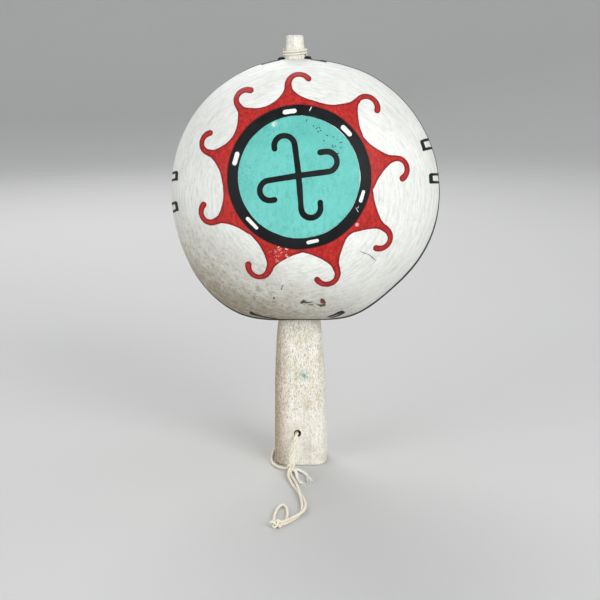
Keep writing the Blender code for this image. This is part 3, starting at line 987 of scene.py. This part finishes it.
def sun_red(seed):
    rays = [ray_line(i) for i in range(RAY_COUNT)]

    def shape(u, v):
        away = disc(u, v, (-0.0006, 0.0007), BAND_RADIUS)
        for out, side, turn_from, line, widths in rays:
            away = melt(away, ray_flare(u, v, out, side, turn_from), 0.03 * R)
            away = melt(away, stroke(u, v, line, widths), 0.012 * R)
        return np.maximum(away + wobble(u, v, seed), (RING_RADIUS - 0.0004) - np.hypot(u, v))

    return shape


def sun_ring(seed):
    def shape(u, v):
        distance = np.hypot(u, v)
        return np.maximum(distance - RING_RADIUS, TEAL_RADIUS - distance) + wobble(u, v, seed + 1)

    return shape


def sun_teal(u, v):
    return disc(u, v, (-0.0003, -0.0001), TEAL_RADIUS + 0.00005)


def curled_cross(seed):
    """Four arms that cross, each ending in a half-turn hook."""
    arms = []
    for heading, reach, curl, tail in CROSS_ARMS:
        turn = math.radians(heading)
        out = np.array((-math.sin(turn), math.cos(turn)))
        left = np.array((-out[1], out[0]))
        line = [out * reach * R * t for t in np.linspace(0, 1, 6)]
        centre = (out * reach + left * curl) * R
        for turn in np.linspace(0, math.pi, 15)[1:]:
            line.append(centre + curl * R * (math.sin(turn) * out - math.cos(turn) * left))
        line.append(line[-1] - out * tail * R)
        arms.append((line, 0.0198 * R))
    return lambda u, v: strokes(u + 0.001 * R, v - 0.008 * R, arms) + wobble(u, v, seed + 2) * 0.8


def dash(place, run):
    """A short straight line about a place."""
    return [place - run, place + run]


def ring_dashes(seed):
    middle = (TEAL_RADIUS + RING_RADIUS) / 2 - 0.0004
    dashes = []
    for angle in DASH_ANGLES:
        low = math.cos(math.radians(angle)) < 0
        centre = polar(angle, middle)
        along = np.array((centre[1], -centre[0])) / middle * (0.044 if low and angle > 180 else 0.032) * R
        dashes.append((dash(centre, along), (0.0125 if low else 0.0165) * R))
    return lambda u, v: strokes(u, v, dashes) + wobble(u, v, seed + 3) * 0.8


def paint_sun(name, tree, look, seed, finishes):
    """The whole sun on one side of the gourd."""
    lay = onto_side(tree, look)
    cx, cy = PAINT_CENTRE

    def patch(part, shape, reach, step, height, colour):
        """Paints a shape about the sun's centre, within reach of it, on a grid of that step."""
        low, high = (cx - reach, cy - reach), (cx + reach, cy + reach)
        moved = [(lay, low, high, step, lambda u, v: shape(u - cx, v - cy))]
        film(f"{name}_{part}", moved, height, finishes[colour])

    patch("rays", sun_red(seed), 0.83 * R, 0.0005, 0.00006, "red")
    patch("disc", sun_teal, 0.5 * R, 0.001, 0.00006, "teal")
    patch("ring", sun_ring(seed), 0.57 * R, 0.0006, 0.00011, "black")
    patch("cross", curled_cross(seed), 0.36 * R, 0.0005, 0.00012, "black")
    patch("dashes", ring_dashes(seed), 0.57 * R, 0.0004, 0.00017, "pale")


# Square brackets near the rim, open towards the back: where the bar starts and stops, and how its arms run.
# All are in degrees: clockwise round the rim from the top, and behind the rim's middle
RIM_MARKS = (
    ((66.3, -15.7), (70.0, -16.8), (1.9, 13.0)),
    ((81.3, -17.4), (84.6, -18.0), (2.0, 12.5)),
    ((264.6, -20.8), (267.9, -20.0), (-1.8, 8.5)),
    ((278.4, -19.4), (281.4, -18.4), (-2.0, 8.5)),
)
# Groups of strokes along the rim at the top and beside the grip: start, stop, and half the width at each
RIM_STROKES = (
    (((343.2, -3.4), (350.5, -3.4), (0.0009, 0.0005)),),
    (((10.4, -3.8), (4.3, -3.4), (0.0009, 0.0005)),),
    (
        ((161.7, -22.9), (169.0, -18.6), (0.0005, 0.0003)),
        ((161.7, -22.9), (161.1, -20.6), (0.0005, 0.0005)),
        ((161.1, -20.6), (168.0, -16.0), (0.0004, 0.0003)),
    ),
    (
        ((204.6, -18.0), (203.0, -17.4), (0.0006, 0.0006)),
        ((203.5, -17.6), (192.6, -15.4), (0.0004, 0.0003)),
    ),
)
MARK_WIDTH = 0.0007  # half of it
FLAT_BRUSH = np.array((1.0, 3.0))  # a stroke that runs along the rim is 3 times as wide as one across it


def rim_marks(u, v):
    """Brackets and short strokes in (metres round the rim, metres behind the middle)."""
    scale = np.array((math.radians(GOURD_RADIUS), math.radians(GOURD_HALF.y)))
    across, along = [], []
    for mark in RIM_MARKS:
        start, stop, arm = (np.array(p) * scale for p in mark)
        across += [([end, end + arm], MARK_WIDTH) for end in (start, stop)]
        along.append(([start / FLAT_BRUSH, stop / FLAT_BRUSH], MARK_WIDTH))
    for start, stop, widths in (line for group in RIM_STROKES for line in group):
        along.append(([np.array(p) * scale / FLAT_BRUSH for p in (start, stop)], widths))
    away = np.minimum(strokes(u, v, across), strokes(u, v / FLAT_BRUSH[1], along))
    return away + wobble(u, v, 9) * 0.8


def rim_line(u, v):
    """A brush line round the rim, which swings to the front and broadens at the lower right and the foot."""
    around = np.degrees(u / GOURD_RADIUS)
    swing = np.exp(-(((around - 138) / 55) ** 2))
    under = np.exp(-(((around - 205) / 40) ** 2))
    front = math.radians(GOURD_HALF.y) * (3.0 - 15.5 * swing - 11.6 * under)
    half_width = 0.0011 + 0.0016 * swing + 0.0010 * under
    return np.abs(v - front - half_width) - half_width + wobble(u, v, 12) * 0.5


def paint_rim(tree, finishes):
    lay = onto_rim(tree)
    marks = []
    for start, stop, arm in RIM_MARKS:
        angles = (start[0], stop[0], start[0] + arm[0], stop[0] + arm[0])
        low, high = (math.radians(a) * GOURD_RADIUS for a in (min(angles) - 2, max(angles) + 2))
        marks.append((lay, (low, -0.028), (high, 0.0), 0.0004, rim_marks))
    for group in RIM_STROKES:
        angles = [end[0] for line in group for end in line[:2]]
        low, high = (math.radians(a) * GOURD_RADIUS for a in (min(angles) - 1, max(angles) + 1))
        marks.append((lay, (low, -0.026), (high, 0.0), 0.0002, rim_marks))
    film("rim_brackets", marks, 0.0002, finishes["black"])
    begin, end = (math.radians(a) * GOURD_RADIUS for a in (RIM_GAP, 360 - RIM_GAP))
    film("rim_line", [(lay, (begin, -0.020), (end, 0.009), 0.0006, rim_line)], 0.0003, finishes["black"])


def paint_wear(tree, finishes):
    """Chips, scuffs, a scratch, nicks and ticks in the paint."""
    lay = onto_side(tree, PAINT_LOOK)

    cx, cy = PAINT_CENTRE

    def wear(name, low, high, step, height, colour, shape):
        film(name, [(lay, low, high, step, shape)], height, finishes[colour])

    def chips(u, v):
        centres = from_mm((8.6, -59.4), (7.6, -60.6), (9.7, -60.2))
        blobs = zip(centres, (0.0014, 0.0008, 0.0007), (4, 5, 6))
        rough = [disc(u, v, centre, size) + wobble(u * 3, v * 3, seed) * 4 for centre, size, seed in blobs]
        return np.min(rough, axis=0)

    def scuffs(u, v):
        """Dark scuffs low on the front, and specks to their left."""
        lines = (
            (from_mm((6.2, -61.3), (7.9, -62), (10, -61.7)), [0.0003, 0.0008, 0.0005]),
            (from_mm((-2.6, -60), (-1.3, -59.2), (0.4, -60), (3.2, -59.7)), [0.0007, 0.0009, 0.0004, 0.0001]),
            (from_mm((0.3, -61.4), (3.6, -61.4)), [0.0001, 0.0003]),
            (from_mm((-17.2, -57.2), (-17.1, -56.8)), [0.0005, 0.0003]),
            (from_mm((-13, -52), (-12.1, -49.8)), [0.0001, 0.0003]),
        )
        return strokes(u, v, lines) + wobble(u * 4, v * 4, 6) * 2

    def scratch(u, v):
        line = from_mm((28.5, -32.2), (30.5, -33.2), (33.1, -34.1), (34.6, -35.4), (36.9, -37.6))
        return stroke(u, v, line, [0.00008, 0.00015, 0.0001, 0.0002, 0.00012])

    def nicks(u, v):
        lines = [(dash(polar(10.7, 0.474 * R) + (cx, cy), np.array((0.0005, 0.0009))), 0.0002)]
        for angle, run in ((120.3, (0.0007, -0.0012)), (117.8, (-0.0003, -0.0006))):
            lines.append((dash(polar(angle, 0.456 * R) + (cx, cy), np.array(run)), [0.00006, 0.00015]))
        return strokes(u, v, lines)

    def ticks(u, v):
        """Short dark scratches in the upper right of the disc."""
        rng = random.Random(27)
        lines = []
        for _ in range(15):
            place = polar(rng.uniform(8, 60), rng.uniform(0.29, 0.39) * R) + (cx, cy)
            turn = rng.gauss(80, 45)
            lines.append((dash(place, polar(turn, rng.uniform(0.0002, 0.0008))), [0.00010, 0.00022]))
        return strokes(u, v, lines)

    wear("chips", (0.004, -0.064), (0.013, -0.056), 0.0003, 0.00008, "bare", chips)
    wear("scuffs", (-0.020, -0.066), (0.013, -0.047), 0.0002, 0.00010, "grime", scuffs)
    wear("scratch", (0.027, -0.039), (0.038, -0.031), 0.00015, 0.00010, "grime", scratch)
    wear("nicks", (-0.005, -0.016), (0.036, 0.048), 0.0002, 0.00019, "pale", nicks)
    wear("ticks", (-0.003, 0.010), (0.028, 0.040), 0.00015, 0.00010, "black", ticks)


def seal_tip(tree, material):
    """Two dark dabs that seal the shell round the stick, one on each side of it."""
    for name, side in (("tip_dab_left", -1), ("tip_dab_right", 1)):
        x = side * (ROD_RADIUS + 0.0018) - 0.0003
        place, _, _, _ = tree.ray_cast(Vector((x, -0.0006, TIP_TOP_Z)), Vector((0, 0, -1)))

        def lumps(towards):
            return 1 + 0.22 * noise.noise(towards * 1.5 + Vector((side * 4, 1, 6)))

        place += Vector((0, 0, 0.0003))
        belongs(lumpy_ball(name, place, (0.0020, 0.0024, 0.0013), lumps, material), "gourd_shell")


# ---------------------------------------------------------------- pebbles


def make_pebbles(material):
    for node in sorted(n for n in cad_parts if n.startswith("pebble_")):
        low, high = (Vector(c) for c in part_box(node))
        seed = Vector((float(node[-2:]), 2.0, 5.0))

        def lumps(towards):
            return 0.93 + 0.10 * noise.noise(towards * 1.4 + seed) + 0.02 * noise.noise(towards * 6 + seed)

        stone = lumpy_ball(f"{node}_stone", (low + high) / 2, (high - low) / 2, lumps, material)
        belongs(stone, "pebbles", node, body=node)


# ---------------------------------------------------------------- stage


def make_camera():
    level = math.cos(CAMERA_ELEVATION)
    across, out = math.sin(CAMERA_AZIMUTH) * level, -math.cos(CAMERA_AZIMUTH) * level
    outward = Vector((across, out, math.sin(CAMERA_ELEVATION)))
    camera = bpy.data.cameras.new("camera")
    camera.lens = CAMERA_LENS
    camera.sensor_width = 36
    made = link(bpy.data.objects.new("camera", camera))
    made.location = CAMERA_CENTRE + outward * CAMERA_DISTANCE
    look = (CAMERA_AIM - made.location).to_track_quat("-Z", "Y").to_matrix().to_4x4()
    roll = Matrix.Rotation(math.radians(-CAMERA_ROLL), 4, "Z")
    made.matrix_world = Matrix.Translation(made.location) @ look @ roll
    bpy.context.scene.camera = made


def area_light(name, place, aim, size, power, colour=(1, 1, 1)):
    light = bpy.data.lights.new(name, "AREA")
    light.shape = "DISK"
    light.size = size
    light.energy = power
    light.color = colour
    made = link(bpy.data.objects.new(name, light))
    made.location = place
    made.rotation_euler = (Vector(aim) - Vector(place)).to_track_quat("-Z", "Y").to_euler()


def make_stage():
    f = Finish("stage", 0.85, 0.1)
    f.mix(f.noise(3, 2), (0.60, 0.60, 0.59, 1.0), (0.63, 0.63, 0.62, 1.0))
    flat, bend, top = 1.5, 0.9, 1.5
    turns = [math.radians(7.5 * i) for i in range(13)]
    curve = [(flat + bend * math.sin(t), bend * (1 - math.cos(t))) for t in turns]
    profile = [(0, 0.0), (flat * 0.5, 0.0), *curve, (flat + bend, top)]
    bowl = lathe("seamless_floor", profile, 96, f.finish())
    world = bpy.data.worlds.new("studio")
    world.use_nodes = True
    world.node_tree.nodes["Background"].inputs["Color"].default_value = (0.95, 0.97, 1.0, 1.0)
    world.node_tree.nodes["Background"].inputs["Strength"].default_value = 0.55
    bpy.context.scene.world = world
    middle = (0, 0, 0.12)
    area_light("key", (0.85, -1.05, 0.68), middle, 0.9, 13.5)
    area_light("fill", (-0.95, -0.9, 0.45), middle, 1.0, 6.3)
    area_light("back", (-0.3, 1.0, 1.0), middle, 0.9, 8)


def main():
    bpy.context.scene.view_settings.view_transform = "Standard"
    make_camera()
    twine = cotton("cotton_twine", (248, 243, 228), (226, 216, 193))
    make_cord(twine, cotton("frayed_cotton", (255, 254, 250), (244, 241, 232)))
    tree = make_gourd(whitewash())
    make_stick(grip_wood())
    make_lashing(cotton("pale_thread", (246, 243, 230), (222, 214, 194)))
    finishes = {
        "red": red_paint(),
        "teal": teal_paint(),
        "black": black_paint(),
        "pale": speckled("pale_paint", 0.5, 0.4, (900, 3), 0.7, (248, 248, 244), (226, 226, 220), (900, 0.3)),
        # What shows where the whitewash is chipped
        "bare": speckled("bare_gourd", 0.7, 0.3, (1100, 4), 0.62, (88, 56, 50), (138, 82, 72), (900, 0.4)),
        "grime": speckled("grime", 0.7, 0.3, (1100, 4), 0.62, (64, 56, 50), (112, 104, 94)),
    }
    paint_sun("front_sun", tree, PAINT_LOOK, 1, finishes)
    paint_sun("back_sun", tree, Vector((0, -1, 0)), 2, finishes)
    paint_rim(tree, finishes)
    paint_wear(tree, finishes)
    seal_tip(tree, finishes["black"])
    stone = speckled("pebble_stone", 0.6, 0.4, (500, 4), 0.65, (120, 108, 94), (78, 68, 60), (1500, 0.5))
    make_pebbles(stone)
    make_stage()


main()
